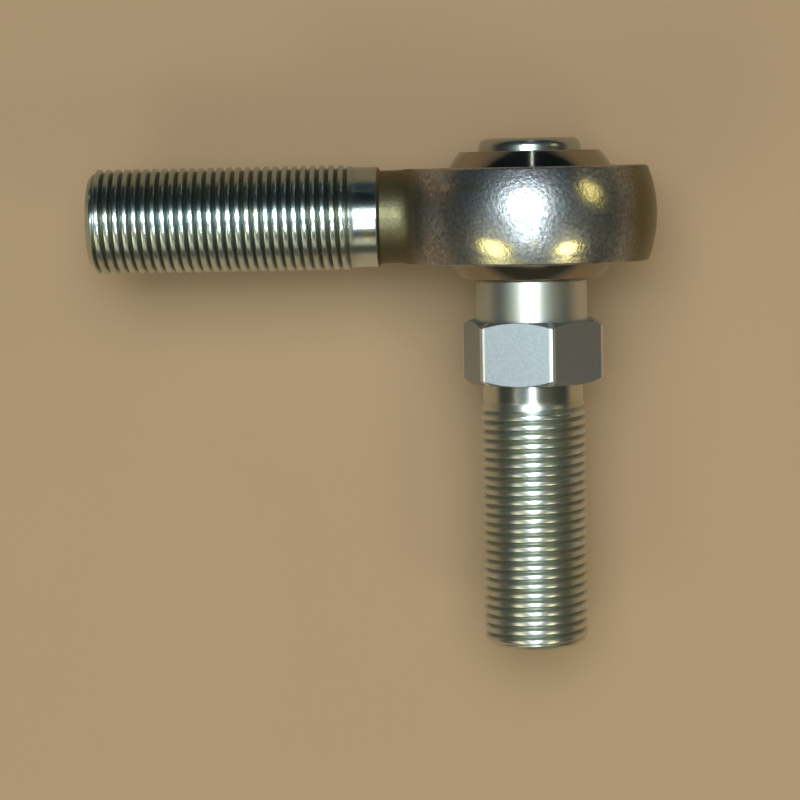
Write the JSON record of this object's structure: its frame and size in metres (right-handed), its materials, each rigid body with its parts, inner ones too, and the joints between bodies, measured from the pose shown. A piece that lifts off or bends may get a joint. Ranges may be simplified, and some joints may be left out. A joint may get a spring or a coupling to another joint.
{
  "type": "studded rod end bearing",
  "caption": "Male rod end with a swivelling ball and a threaded stud with a hexagon, set square to the threaded shank.",
  "frame": {"origin": "centre of the ball, where the axes of the shank, the eye and the stud meet", "axes": "-X along the shank towards its free end; Y along the axis of the eye, with the stud towards -Y; +Z square to both. The stud is at zero tilt."},
  "size_m": [0.0858, 0.077, 0.038],
  "materials": {
    "zinc_plated_forging": "zinc plated with a faint yellow passivate, satin",
    "race_steel": "turned and ground steel",
    "polished_ball_steel": "hardened, ground and polished",
    "zinc_plated_stud": "bright zinc plated, turned thread and shoulder, satin hexagon"
  },
  "bodies": {
    "rod_end_body": {"rod_end_body": "zinc_plated_forging"},
    "race": {"race": "race_steel"},
    "ball": {"ball": "polished_ball_steel"},
    "stud": {"stud": "zinc_plated_stud"}
  },
  "joints": [
    {"name": "tilt_direction", "type": "hinge", "parent": "rod_end_body", "child": "race", "pos_m": [0, 0, 0], "axis": [0, 1, 0], "continuous": true},
    {"name": "stud_tilt", "type": "hinge", "parent": "race", "child": "ball", "pos_m": [0, 0, 0], "axis": [0, 0, 1], "range_deg": [-22, 22]},
    {"name": "stud_spin", "type": "hinge", "parent": "ball", "child": "stud", "pos_m": [0, 0, 0], "axis": [0, 1, 0], "continuous": true}
  ]
}
